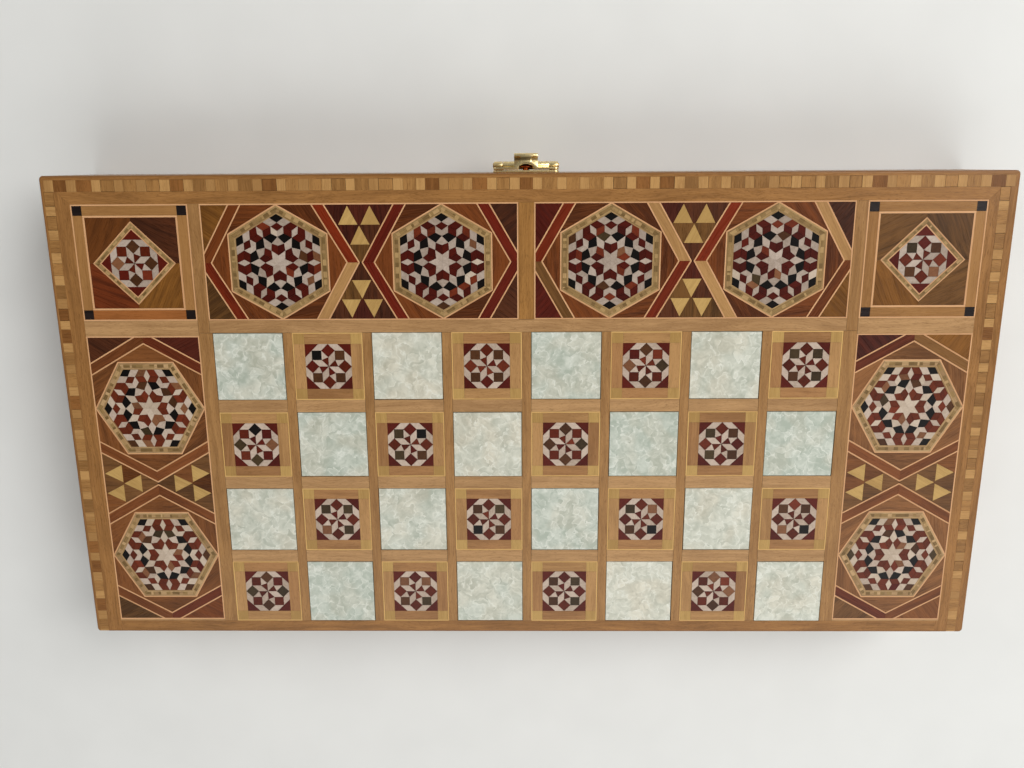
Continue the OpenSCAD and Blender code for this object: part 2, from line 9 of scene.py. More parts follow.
import bmesh
import bpy
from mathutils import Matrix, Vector


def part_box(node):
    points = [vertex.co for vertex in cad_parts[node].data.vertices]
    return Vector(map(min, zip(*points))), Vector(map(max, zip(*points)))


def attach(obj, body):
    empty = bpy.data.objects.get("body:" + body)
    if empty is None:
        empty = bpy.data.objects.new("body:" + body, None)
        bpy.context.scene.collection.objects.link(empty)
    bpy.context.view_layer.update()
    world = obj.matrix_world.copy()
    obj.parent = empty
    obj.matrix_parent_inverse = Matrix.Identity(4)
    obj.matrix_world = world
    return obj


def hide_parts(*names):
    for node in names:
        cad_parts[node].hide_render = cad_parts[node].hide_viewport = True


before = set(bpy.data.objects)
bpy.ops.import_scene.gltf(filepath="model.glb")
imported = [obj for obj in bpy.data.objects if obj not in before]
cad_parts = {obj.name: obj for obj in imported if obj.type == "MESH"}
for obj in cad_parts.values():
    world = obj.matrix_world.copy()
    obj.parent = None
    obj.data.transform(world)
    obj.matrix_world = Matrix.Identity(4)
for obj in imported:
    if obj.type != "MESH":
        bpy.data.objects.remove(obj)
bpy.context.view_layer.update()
MM = 0.001
cos_30 = math.cos(math.radians(30))

# Box, from the frame
front_low, front_high = (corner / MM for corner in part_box("lid_front_rail"))
side_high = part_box("lid_right_rail")[1] / MM
half_w = front_high.x
front = front_low.y
back = side_high.y
half_h = front_low.z
top_z = front_high.z
halves = ("lid", "base")

# Layers of one half
wall_t = 16
skin_t = 2
field_z = 51
point_t = 0.8
block_t = 1.6

# Layout of the inlaid face
rim_w = 14.3
panel_b = 59.8
strip_x = 5.9
mid_strip = 8
strip_y = 8.2
end_strip = 7.8
field_strip = 7.15
row_strip = 6.65
back_strip = 6.9
bar_x = 4.9
bar_y = 6.9
rosette_w = 24.3
inner_front = front + rim_w
inner_back = back - back_strip
border = rim_w + panel_b

# Border panels
side_x = half_w - rim_w - panel_b / 2
front_y = front + rim_w + panel_b / 2
front_l = (2 * half_w - 2 * (border + strip_x) - mid_strip) / 2
front_x = mid_strip / 2 + front_l / 2
side_l = back - front - border - strip_y - end_strip
side_y = front + border + strip_y + side_l / 2

# Chess squares, with column 0 at +X and row 0 at the front
columns = 8
rows = 4
field_w = 2 * (half_w - border - field_strip)
tile_w = (field_w - (columns - 1) * bar_x) / columns
row_front = front + border + row_strip
tile_d = (inner_back - row_front - (rows - 1) * bar_y) / rows

# Inlay of the border panels
hex_w = 51.4
star_w = 42.9
hex_shift = 1.5
chevron_w = 6.2
chevron_gap = 0.8
string_w = 0.7
hex_outer_line = 0.7
hex_inner_line = 0.55
dash_row = 2.0
dash_share = 0.6
dash_middle = 0.55
dash_short = 0.8
dash_long = 3.6
dash_seam = 0.02
dash_twice = 0.25
tri_w = 9.9
tri_h = 9.6
tri_x = 5.7
tri_in = 1.2
tri_gap = 0.4
corner_band = 6.6
corner_outer_line = 0.7
corner_inner_line = 1.0
diamond_w = 30.4
diamond_line = 0.55
ground_lean = 20
medallion_lean = 65

# Edge blocks
block_lip = 2.2
block_b = 5.8
right_lip = 1.7
left_lip = 4.2
side_b = 5
light_block = 4.9
block_step = 11.8
side_chip = 1.6
block_drift = 0.5
block_spread = 0.4
light_seam = 0.1
dark_seams = (0.06, 0.1, 0.3)
row_len = 2 * (half_w - block_lip)
row_n = round((row_len - light_block) / block_step)
row_step = (row_len - light_block) / row_n
side_len = back - front - block_lip - block_b
side_n = round((side_len + light_block - side_chip) / block_step)
side_step = (side_len + light_block - side_chip) / side_n

# Points of the playing board
points = 6
point_l = 180
point_gap = 2.3
point_in = 3
point_line = 0.9
point_fan = 3
cavity_x = half_w - wall_t
point_step = (back - front - 2 * wall_t) / points
point_w = point_step - point_gap

# Joints, edges and tolerances
seam = 0.06
tile_seam = 0.11
pale_seam = 0.03
strip_seam = 0.14
pearl_seam = 0.6
pearl_drift = 0.12
cell_line = 0.55
outer_round = 0.9
corner_round = 2.0
meeting_round = 0.8
skim = 0.005
mitre_ease = 0.05
mitre_near = 0.01
metal_round = 0.13
screw_round = 0.06
# Painted shade along the box's outer edges: its width, and how near the edge it is full
edge_shade_w = 1.5
edge_shade_full = 0.3
least_area = 0.02
tiny = 1e-6
corner_gap = 0.0005
border_gap = 0.1
flat_normal = 0.9999
bevel_steps = 5

# Angles of the clean-up, of rounded edges and of shading
flat_angle = 0.5
box_edge_angle = 60
metal_edge_angle = 35
metal_crease_angle = 40

# Random shifts of the grain, tones of the rails, and the painted shade in the hollow of the hasp's
# arch
grain_reach = 900
rail_tones = (0.35, 0.65)
hollow_shade_y = front - 7.1
hollow_shade_reach = 0.95

# Surroundings: brightness, and heights on a unit sphere
dim_sky = 0.2
pale_sky = 0.75
mirrored_sky = 0.45
low_sky = 0.4
high_sky = 0.75

# Floor and lamps, in metres
floor_size = 4.0
floor_gap = 0.0002
lamp_aim = (0, 0, 0.03)

# Camera, fitted to the photograph
camera_place = (1.43, -131.34, 514.93)
camera_turn = (-13.961, 0.706, 179.655)
lens = 31.11
sensor_w = 36
near_clip = 10


# Flat outlines

def unit(degrees):
    return cmath.rect(1, math.radians(degrees))


def rect(x0, x1, y0, y1):
    return [complex(x0, y0), complex(x1, y0), complex(x1, y1), complex(x0, y1)]


def block(w, d, centre=0j):
    return [p + centre for p in rect(-w / 2, w / 2, -d / 2, d / 2)]


def along(vector, direction):
    return (vector * direction.conjugate()).real


def keep(outline, toward, start=0j):
    """The part of a convex outline that lies from the start on in one direction."""
    kept = []
    for k, here in enumerate(outline):
        last = outline[k - 1]
        before = along(last - start, toward)
        now = along(here - start, toward)
        if (before > 0) != (now > 0):
            kept.append(last + (here - last) * before / (before - now))
        if now > 0:
            kept.append(here)
    return kept


def area(outline):
    return sum(along(p, 1j * outline[k - 1]) for k, p in enumerate(outline)) / 2


def shrink(outline, gap):
    """A convex outline drawn in by a gap on every side."""
    inner = outline
    for k, here in enumerate(outline):
        last = outline[k - 1]
        if abs(here - last) > tiny:
            inward = (here - last) / abs(here - last) * 1j
            inner = keep(inner, inward, last + inward * gap)
    return inner


def side_strip(outline, angle, folds, low, high):
    """The part of an outline along one side of a regular figure, between two distances."""
    out = unit(angle)
    half = 180 / folds
    outline = keep(outline, out, out * low)
    outline = keep(outline, -out, out * high)
    outline = keep(outline, unit(angle - half + 90))
    return keep(outline, unit(angle + half - 90))


def turned(outline, degrees):
    return [p * unit(degrees) for p in outline]


# Colours and shader nodes

def srgb(red, green, blue):
    """A colour written as on a screen, in the linear values that a shader takes."""
    shares = (c / 255 for c in (red, green, blue))
    linear = [c / 12.92 if c <= 0.04045 else ((c + 0.055) / 1.055) ** 2.4 for c in shares]
    return (*linear, 1.0)


def shade(colour, gain, warm=0.0):
    red, green, blue, _ = colour
    return (red * gain * (1 + warm), green * gain, blue * gain * (1 - warm), 1.0)


MATERIALS = {}


def new_material(name):
    """Starts a material, and gives its node tree and its shader."""
    material = bpy.data.materials.new(name)
    material.use_nodes = True
    MATERIALS[name] = material
    return material.node_tree, material.node_tree.nodes["Principled BSDF"]


def node(tree, kind, inputs, **settings):
    """Adds a shader node, links the sockets given for its inputs and sets its other inputs."""
    made = tree.nodes.new(kind)
    for name, value in settings.items():
        setattr(made, name, value)
    for name, value in inputs.items():
        if isinstance(value, bpy.types.NodeSocket):
            tree.links.new(value, made.inputs[name])
        else:
            made.inputs[name].default_value = value
    return made


def maths(tree, operation, *values, clamp=False):
    made = node(tree, "ShaderNodeMath", dict(enumerate(values)), operation=operation,
                use_clamp=clamp)
    return made.outputs[0]


def vector_maths(tree, operation, *values):
    made = node(tree, "ShaderNodeVectorMath", dict(enumerate(values)), operation=operation)
    return made.outputs[0]


def noise(tree, place, stretch, detail=2.0, rough=0.5, output="Fac"):
    """Noise on a place in millimetres, with its own number of cells per millimetre each way."""
    scaled = vector_maths(tree, "MULTIPLY", place, stretch)
    values = {"Vector": scaled, "Scale": 1.0, "Detail": detail, "Roughness": rough}
    return node(tree, "ShaderNodeTexNoise", values).outputs[output]


def ramp(tree, value, low, high, to_low=0.0, to_high=1.0):
    values = {"Value": value, "From Min": low, "From Max": high, "To Min": to_low,
              "To Max": to_high}
    return node(tree, "ShaderNodeMapRange", values).outputs["Result"]


def level(tree, *terms):
    """One half plus each term's distance from one half times its gain, kept from 0 to 1."""
    total = 0.5 - sum(gain for _, gain in terms) / 2
    for k, (value, gain) in enumerate(terms):
        is_last = k == len(terms) - 1
        total = maths(tree, "MULTIPLY_ADD", value, gain, total, clamp=is_last)
    return total


def mix(tree, share, first, second):
    """The first colour where the share is 0, and the second where it is 1."""
    made = node(tree, "ShaderNodeMix", {0: share, 6: first, 7: second}, data_type="RGBA")
    return made.outputs[2]


def attribute(tree, name, output):
    return node(tree, "ShaderNodeAttribute", {}, attribute_name=name).outputs[output]


def box_place(tree):
    """The place on the object in millimetres."""
    place = node(tree, "ShaderNodeTexCoord", {}).outputs["Object"]
    made = node(tree, "ShaderNodeVectorMath", {0: place, "Scale": 1 / MM}, operation="SCALE")
    return made.outputs[0]


def bump(tree, shader, height, distance, strength=0.5):
    values = {"Height": height, "Distance": distance * MM, "Strength": strength}
    made = node(tree, "ShaderNodeBump", values)
    tree.links.new(made.outputs[0], shader.inputs["Normal"])


def paint(tree, shader, base, roughness, specular=0.5):
    """Gives a shader its colour, its roughness and how much it mirrors."""
    tree.links.new(base, shader.inputs["Base Color"])
    tree.links.new(roughness, shader.inputs["Roughness"])
    shader.inputs["Specular IOR Level"].default_value = specular


# Materials

def outer_edge_shade(tree):
    """How near a place is to an outer edge of the box, where two of its faces meet, for the
    painted shade there.
    """
    parts = node(tree, "ShaderNodeSeparateXYZ", {0: box_place(tree)}).outputs
    high = maths(tree, "SUBTRACT", parts[2], half_h)
    near = []
    for value, reach in ((parts[0], half_w), (parts[1], back), (high, half_h)):
        size = maths(tree, "ABSOLUTE", value)
        near.append(ramp(tree, size, reach - edge_shade_w, reach - edge_shade_full))
    two = maths(tree, "ADD", near[0], near[1])
    return ramp(tree, maths(tree, "ADD", two, near[2]), 1.0, 2.0)


def wood(name, screen, streak, pores, spread=0.5, loose=False, shaded_edges=False):
    """Planed wood with streaks, fibres and pores along its grain, under thin lacquer."""
    tree, shader = new_material(name)
    colour = srgb(*screen)
    place = box_place(tree) if loose else attribute(tree, "grain", "Vector")
    sway = noise(tree, place, (0.02, 0.05, 0.05), 1.0, output="Color")
    bent = vector_maths(tree, "MULTIPLY_ADD", sway, (0, 9, 9), place)
    broad = noise(tree, bent, (0.018, 0.42, 0.42), 3.0, 0.6)
    narrow = noise(tree, bent, (0.06, 2.2, 2.2), 2.0, 0.6)
    fibre = noise(tree, bent, (0.3, 9.0, 9.0), 1.0)
    fleck = noise(tree, bent, (0.35, 3.6, 3.6), 1.0)
    cloud = noise(tree, place, (0.05, 0.05, 0.05), 1.0)
    terms = [(broad, 2.2), (narrow, 1.3), (fibre, 0.6), (cloud, 0.8)]
    if not loose:
        terms.append((attribute(tree, "tone", "Fac"), spread))
    share = level(tree, *terms)
    base = mix(tree, share, shade(colour, 1 - 1.25 * streak, 0.06), shade(colour, 1 + streak))
    pore = ramp(tree, fleck, 0.6, 0.7, 0.0, pores)
    base = mix(tree, pore, base, shade(colour, 0.42, 0.12))
    # Painted shade: the wood is darker along the box's outer edges.
    if shaded_edges:
        base = mix(tree, outer_edge_shade(tree), base, shade(colour, 0.72, 0.1))
    paint(tree, shader, base, ramp(tree, narrow, 0.3, 0.7, 0.24, 0.38), 0.2)
    bump(tree, shader, level(tree, (narrow, 0.6), (fibre, 0.8)), 0.03)


def tessera(name, screen, contrast):
    """A small tile of bone or dyed wood, with mottling and fine pores."""
    tree, shader = new_material(name)
    colour = srgb(*screen)
    place = attribute(tree, "grain", "Vector")
    mottle = noise(tree, place, (0.5, 0.9, 0.9), 3.0, 0.65)
    grit = noise(tree, place, (3.0, 4.5, 4.5), 2.0, 0.6)
    tone = attribute(tree, "tone", "Fac")
    share = level(tree, (mottle, 1.6), (grit, 0.9), (tone, 0.7))
    base = mix(tree, share, shade(colour, 1 - contrast, 0.05), shade(colour, 1 + contrast))
    paint(tree, shader, base, ramp(tree, grit, 0.3, 0.7, 0.26, 0.34), 0.18)
    bump(tree, shader, grit, 0.02, 0.4)


def pearl(name):
    """Crushed pearl under resin: crumpled flakes of green, grey and white with bright creases,
    which are partly the pearl's own white and partly painted highlight.
    """
    tree, shader = new_material(name)
    place = attribute(tree, "grain", "Vector")
    tone = attribute(tree, "tone", "Fac")
    swirl = noise(tree, place, (0.11, 0.11, 0.11), 2.5, 0.6, "Color")
    bent = vector_maths(tree, "MULTIPLY_ADD", swirl, (17, 17, 17), place)
    cell = {"Vector": bent, "Scale": 0.17}
    tint = node(tree, "ShaderNodeTexVoronoi", cell, feature="F1").outputs["Color"]
    rim = node(tree, "ShaderNodeTexVoronoi", cell, feature="DISTANCE_TO_EDGE").outputs["Distance"]
    jump = vector_maths(tree, "MULTIPLY_ADD", tint, (60, 60, 60), bent)
    facet = noise(tree, jump, (0.16, 0.16, 0.16), 1.0)
    cloud = noise(tree, place, (0.09, 0.09, 0.09), 3.0, 0.6)
    ripple = noise(tree, bent, (0.5, 0.5, 0.5), 1.0)
    hue = ramp(tree, noise(tree, place, (0.07, 0.07, 0.07), 1.0), 0.4, 0.6)
    share = level(tree, (facet, 1.7), (cloud, 1.2), (ripple, 0.7), (tone, 0.4))
    green = mix(tree, share, srgb(166, 174, 159), srgb(208, 211, 198))
    warm = mix(tree, share, srgb(176, 172, 153), srgb(214, 209, 190))
    base = mix(tree, level(tree, (hue, 0.5), (tone, 0.9)), green, warm)
    # Painted highlight: pale creases along the flakes' edges, partly the pearl's own white.
    folds = ramp(tree, facet, 0.45, 0.62)
    crease_highlight = maths(tree, "MULTIPLY", ramp(tree, rim, 0.0, 0.1, 0.55, 0.0), folds)
    base = mix(tree, crease_highlight, base, srgb(228, 229, 218))
    paint(tree, shader, base, ramp(tree, cloud, 0.3, 0.7, 0.22, 0.3), 0.35)
    bump(tree, shader, ripple, 0.2, 0.1)


def brass(name, screen, rough, shade_hollow=False):
    """Plated brass with brushed roughness and dull patches, and painted shade in the arch's
    hollow.
    """
    tree, shader = new_material(name)
    colour = srgb(*screen)
    place = box_place(tree)
    patch = noise(tree, place, (0.35, 0.35, 0.35), 3.0)
    brush = noise(tree, place, (0.4, 6.0, 6.0))
    share = level(tree, (patch, 2.2), (brush, 0.6))
    base = mix(tree, share, shade(colour, 0.72, 0.08), shade(colour, 1.06))
    if shade_hollow:
        # Painted shade: a dark band across the hasp in the hollow between its lip and its arch.
        depth = node(tree, "ShaderNodeSeparateXYZ", {0: place}).outputs[1]
        off = maths(tree, "ABSOLUTE", maths(tree, "SUBTRACT", depth, hollow_shade_y))
        hollow_shade = ramp(tree, off, 0.6 * hollow_shade_reach, 1.2 * hollow_shade_reach, 0.85, 0.0)
        base = mix(tree, hollow_shade, base, shade(colour, 0.16, 0.3))
    paint(tree, shader, base, ramp(tree, share, 0.0, 1.0, rough + 0.1, rough))
    shader.inputs["Metallic"].default_value = 1.0
    bump(tree, shader, brush, 0.01, 0.3)


def floor_paper():
    """Plain pale paper."""
    tree, shader = new_material("floor_paper")
    grit = noise(tree, box_place(tree), (0.02, 0.02, 0.02))
    base = mix(tree, ramp(tree, grit, 0.3, 0.7), srgb(224, 224, 220), srgb(228, 228, 224))
    tree.links.new(base, shader.inputs["Base Color"])
    shader.inputs["Roughness"].default_value = 0.8


# Each has its colour as on a screen. Then a wood has the depth of its streaks, the depth of its
# pores and its spread of tone, a tile has its contrast, and brass its roughness.
wood("beech", (145, 102, 56), 0.24, 0.65, shaded_edges=True)
wood("strip_long", (154, 114, 69), 0.2, 0.6)
wood("strip_cross", (168, 130, 87), 0.19, 0.55)
wood("strip_mid", (146, 103, 53), 0.24, 0.65)
wood("block_gold", (171, 130, 79), 0.16, 0.3, 1.3)
wood("block_tan", (148, 107, 60), 0.24, 0.6, 1.0)
wood("block_brown", (128, 84, 42), 0.24, 0.6, 1.0)
wood("string", (206, 159, 115), 0.1, 0.1)
wood("gold_line", (210, 170, 106), 0.1, 0.1)
wood("gold", (178, 144, 86), 0.14, 0.2, 0.8)
wood("corner_gold", (171, 137, 80), 0.14, 0.2, 1.2)
wood("rose", (152, 110, 68), 0.2, 0.45, 0.8)
wood("rose_gold", (164, 124, 78), 0.18, 0.45, 0.8)
wood("tan", (148, 106, 60), 0.16, 0.35, 0.7)
wood("tan_red", (142, 86, 42), 0.22, 0.35, 0.7)
wood("chevron_tan", (166, 126, 78), 0.16, 0.35, 0.6)
wood("chevron_red", (107, 34, 8), 0.26, 0.3, 0.8)
wood("chevron_olive", (112, 76, 38), 0.26, 0.4, 0.8)
wood("chevron_dark", (93, 24, 7), 0.26, 0.3, 0.8)
wood("chevron_brown", (98, 48, 16), 0.28, 0.4, 0.8)
wood("chevron_nut", (112, 63, 30), 0.28, 0.4, 0.8)
wood("chevron_rust", (90, 38, 16), 0.28, 0.4, 0.8)
wood("rosewood", (98, 50, 18), 0.4, 0.45, 0.9)
wood("nut_wood", (110, 66, 32), 0.34, 0.45, 0.7)
wood("nut_pale", (121, 79, 44), 0.34, 0.45, 0.7)
wood("olive_grey", (102, 68, 36), 0.34, 0.45, 0.8)
wood("olive_wood", (94, 62, 28), 0.4, 0.45, 0.8)
wood("golden_wood", (116, 74, 28), 0.3, 0.4, 0.6)
wood("red_rose", (100, 44, 16), 0.34, 0.45, 0.8)
wood("umber_wood", (88, 48, 16), 0.34, 0.45, 0.8)
wood("maroon", (66, 24, 12), 0.42, 0.5, 0.9)
wood("wine_wood", (76, 19, 6), 0.3, 0.4, 0.6)
wood("dark_rose", (70, 35, 16), 0.42, 0.5, 0.8)
wood("olive_light", (155, 126, 83), 0.24, 0.5, 1.4)
wood("olive_bright", (168, 137, 97), 0.24, 0.5, 1.4)
wood("olive_pale", (164, 133, 90), 0.18, 0.3, 1.2)
wood("olive_dark", (130, 104, 64), 0.26, 0.45, 1.6)
wood("ebony", (30, 21, 19), 0.3, 0.2, 0.8)
wood("plywood", (196, 164, 122), 0.14, 0.3, loose=True)
wood("walnut", (100, 66, 42), 0.26, 0.5, loose=True)
wood("maple", (206, 172, 120), 0.14, 0.2)
wood("mahogany", (104, 38, 24), 0.24, 0.4)
tessera("bone", (169, 153, 139), 0.25)
tessera("bone_grey", (162, 146, 132), 0.25)
tessera("bone_pale", (178, 160, 144), 0.22)
tessera("ivory", (184, 167, 148), 0.16)
tessera("red", (67, 14, 4), 0.35)
tessera("red_warm", (80, 25, 6), 0.35)
tessera("red_pale", (90, 36, 16), 0.3)
tessera("brick", (98, 38, 18), 0.35)
tessera("brown", (114, 74, 48), 0.3)
tessera("black", (9, 5, 3), 0.4)
tessera("green", (60, 46, 26), 0.4)
tessera("umber", (70, 41, 20), 0.35)
tessera("wine", (78, 19, 7), 0.3)
pearl("pearl")
brass("brass", (250, 228, 170), 0.26)
brass("brass_hasp", (250, 228, 170), 0.24, shade_hollow=True)
# The stud's dark red-brown is painted shade and painted reflection of the wood, seen through the
# arch's opening.
brass("stud_painted_shade", (160, 78, 42), 0.4)
brass("brass_worn", (222, 194, 134), 0.32)

# Woods drawn at random, with their weights
DARK_MIX = (("black", 6), ("green", 30), ("umber", 42), ("brown", 22))
DEEP_MIX = (("red_warm", 60), ("wine", 25), ("brick", 15))
CROSSING_MIX = (("maroon", 30), ("dark_rose", 32), ("rosewood", 15), ("olive_wood", 23))
NUT_MIX = (("nut_wood", 35), ("olive_grey", 50), ("umber_wood", 15))
FRONT_TILES = {
    "heart": (("bone", 1),),
    "bone": (("bone_grey", 97), ("ivory", 3)),
    "red": (("red", 72), ("brick", 14), ("brown", 8), ("wine", 6)),
    "black": (("black", 88), ("green", 7), ("umber", 5)),
}
SIDE_TILES = {
    "heart": (("ivory", 1),),
    "bone": (("bone_pale", 60), ("ivory", 40)),
    "red": (("red_pale", 58), ("brick", 24), ("brown", 15), ("wine", 3)),
    "black": (("black", 62), ("green", 14), ("umber", 24)),
}


# Inlaid pieces

def link_piece(mesh, name, prefix):
    piece = bpy.data.objects.new(prefix + name, mesh)
    bpy.context.scene.collection.objects.link(piece)
    return piece


def stand_for(piece, name, body, slot):
    """Puts a piece in the place of a CAD node, on its body. Its slot is not used."""
    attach(piece, body)
    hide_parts(name)


def store_grain(mesh, grain, tone):
    """Stores the place in the grain of every corner and the tone of every face."""
    mesh.attributes.new("grain", "FLOAT_VECTOR", "POINT").data.foreach_set("vector", grain)
    mesh.attributes.new("tone", "FLOAT", "FACE").data.foreach_set("value", tone)


class Inlay:
    """Many flat pieces of wood in one object, each with its own grain and tone."""

    def __init__(self, half, node_name, top=top_z, depth=skin_t):
        self.half = half
        self.name = f"{half}_{node_name}"
        self.top = top
        self.depth = depth
        self.rng = random.Random(self.name)
        self.verts = []
        self.faces = []
        self.woods = []
        self.used = []
        self.grain = []
        self.tone = []
        self.move(0j, 0)

    def move(self, centre, angle=0):
        """Sets the place and turn of what is added next."""
        self.centre = centre
        self.turn = unit(angle)

    def pick(self, choices):
        names = [name for name, _ in choices]
        return self.rng.choices(names, [weight for _, weight in choices])[0]

    def add(self, outline, wood_name, angle=0, gap=seam, foot=0j):
        """Adds a prism with its grain at an angle. The foot shifts its far end's lower edge."""
        drawn = shrink(outline, gap / 2)
        if len(drawn) < 3 or area(drawn) < least_area:
            return
        if wood_name not in self.used:
            self.used.append(wood_name)
        count = len(drawn)
        first = len(self.verts)
        shift = [self.rng.uniform(0, grain_reach) for _ in range(3)]
        tone = self.rng.random()
        grain_turn = unit(-angle)
        far = max(along(p, foot) for p in drawn) if foot else 0
        for z in (self.top, self.top - self.depth):
            for p in drawn:
                low = z < self.top and foot and along(p, foot) > far - tiny
                q = p + foot if low else p
                at = self.centre + q * self.turn
                self.verts.append((at.real, at.imag, z))
                g = q * grain_turn
                self.grain.append((g.real + shift[0], g.imag + shift[1], z + shift[2]))
        upper = range(first, first + count)
        self.faces.append(tuple(upper))
        self.faces.append(tuple(first + count + k for k in reversed(range(count))))
        for k in range(count):
            a = first + k
            b = first + (k + 1) % count
            self.faces.append((a, a + count, b + count, b))
        self.woods += [self.used.index(wood_name)] * (count + 2)
        self.tone += [tone] * (count + 2)

    def add_frame(self, w, d, line, wood_name):
        """Adds four strips round the inside of a rectangle."""
        for s in (-1, 1):
            self.add(block(w, line, complex(0, s * (d - line) / 2)), wood_name)
            self.add(block(line, d - 2 * line, complex(s * (w - line) / 2, 0)), wood_name, 90)

    def build(self, slot):
        mesh = bpy.data.meshes.new(self.name)
        verts = self.verts
        if self.half == "base":
            verts = [(-x, y, 2 * half_h - z) for x, y, z in verts]
        mesh.from_pydata([(x * MM, y * MM, z * MM) for x, y, z in verts], [], self.faces)
        for wood_name in self.used:
            mesh.materials.append(MATERIALS[wood_name])
        mesh.polygons.foreach_set("material_index", self.woods)
        store_grain(mesh, [c for g in self.grain for c in g], self.tone)
        stand_for(link_piece(mesh, self.name, "inlay_"), self.name, self.half, slot)


def edge_blocks(half):
    """Light and dark blocks let into the rim on three sides."""
    light = Inlay(half, "light_blocks", depth=block_t)
    dark = Inlay(half, "dark_blocks", depth=block_t)
    kinds = (("block_tan", 75), ("block_brown", 25))
    y = front + block_lip + block_b / 2
    starts = [-row_len / 2 + k * row_step for k in range(row_n + 1)]
    shifts = [dark.rng.uniform(-block_drift, block_drift) for _ in starts]
    shifts[0] = shifts[-1] = 0
    for k, x0 in enumerate(starts):
        x1 = x0 + light_block
        x1 += dark.rng.uniform(-block_spread, block_spread) if 0 < k < row_n else 0
        light.add(rect(x0 + shifts[k], x1 + shifts[k], y - block_b / 2, y + block_b / 2),
                  "block_gold", 90, light_seam)
        if k < row_n:
            x2 = starts[k + 1] + shifts[k + 1]
            gap = dark.rng.choice(dark_seams)
            dark.add(rect(x1 + shifts[k], x2, y - block_b / 2, y + block_b / 2),
                     dark.pick(kinds), 90, gap)
    for s, lip in ((1, right_lip), (-1, left_lip)):
        x = s * (half_w - lip - side_b / 2)
        y0 = back - side_len
        for k in range(side_n):
            last = k == side_n - 1
            y1 = back - side_len + (k + 1) * side_step - light_block
            y1 += 0 if last else dark.rng.uniform(-block_drift, block_drift)
            dark.add(rect(x - side_b / 2, x + side_b / 2, y0, y1), dark.pick(kinds), 0,
                     dark.rng.choice(dark_seams))
            if last:
                y2 = back - outer_round / 2
            else:
                y2 = y1 + light_block + dark.rng.uniform(-block_spread, block_spread)
            foot = complex(0, outer_round / 2) if last else 0j
            light.add(rect(x - side_b / 2, x + side_b / 2, y1, y2), "block_gold", 0, light_seam,
                      foot)
            y0 = y2
    light.build("light_block")
    dark.build("dark_block")


def cell_x(i):
    return field_w / 2 - tile_w / 2 - i * (tile_w + bar_x)


def cell_y(j):
    return row_front + tile_d / 2 + j * (tile_d + bar_y)


def cells(is_pearl):
    """The middles of the pearl squares, or of the dark ones."""
    for i in range(columns):
        for j in range(rows):
            if ((i + j) % 2 == 0) == is_pearl:
                yield complex(cell_x(i), cell_y(j))


def strips(half):
    """Plain beech strips between the squares and the panels."""
    long = Inlay(half, "long_strips")
    for i in range(columns - 1):
        x = cell_x(i) - (tile_w + bar_x) / 2
        long.add(rect(x - bar_x / 2, x + bar_x / 2, row_front, inner_back), "strip_long", 90,
                 strip_seam)
    for s in (-1, 1):
        edge = s * (half_w - border)
        near = edge - s * strip_x
        deep = s * field_w / 2
        for x, y0, y1 in ((near, inner_front, row_front), (deep, row_front, inner_back)):
            long.add(rect(min(edge, x), max(edge, x), y0, y1), "strip_long", 90, strip_seam)
    long.add(block(mid_strip, panel_b, complex(0, front_y)), "strip_mid", 90, strip_seam)
    long.build("beech_strip")
    cross = Inlay(half, "cross_strips")
    for j in range(rows - 1):
        y = cell_y(j) + (tile_d + bar_y) / 2
        for i in range(columns):
            cross.add(block(tile_w, bar_y, complex(cell_x(i), y)), "strip_cross", 0, strip_seam)
    cross.add(block(2 * (half_w - border - strip_x), row_strip,
                    complex(0, row_front - row_strip / 2)), "strip_cross", 0, strip_seam)
    for s in (-1, 1):
        cross.add(block(panel_b, strip_y, complex(s * side_x, front + border + strip_y / 2)),
                  "strip_cross", 0, strip_seam)
        tail = end_strip - back_strip
        cross.add(block(panel_b, tail, complex(s * side_x, inner_back - tail / 2)), "strip_cross")
    cross.build("beech_strip")


def pearl_squares(half):
    squares = Inlay(half, "pearl_squares")
    for centre in cells(True):
        across, down = (squares.rng.uniform(-pearl_drift, pearl_drift) for _ in range(2))
        squares.move(centre + complex(across, down))
        squares.add(block(tile_w, tile_d), "pearl", squares.rng.uniform(0, 360), pearl_seam)
    squares.build("pearl")


def dark_cells(half):
    """The frame of bands, lines and corner blocks round each rosette."""
    frames = Inlay(half, "cell_frames")
    corners = Inlay(half, "cell_blocks")
    mid = rosette_w / 2
    end_x = tile_w / 2 - cell_line
    end_y = tile_d / 2 - cell_line
    for centre in cells(False):
        frames.move(centre)
        corners.move(centre)
        frames.add_frame(tile_w, tile_d, cell_line, "gold_line")
        for s in (-1, 1):
            kind = frames.pick((("rose", 60), ("rose_gold", 40)))
            frames.add(rect(-mid, mid, *sorted((s * mid, s * end_y))), kind)
            kind = frames.pick((("rose", 35), ("rose_gold", 65)))
            frames.add(rect(*sorted((s * mid, s * end_x)), -mid, mid), kind, 90)
            for t in (-1, 1):
                corners.add(rect(*sorted((s * mid, s * end_x)), *sorted((t * mid, t * end_y))),
                            "corner_gold", 90)
    frames.build("rose_band")
    corners.build("gold_wood")


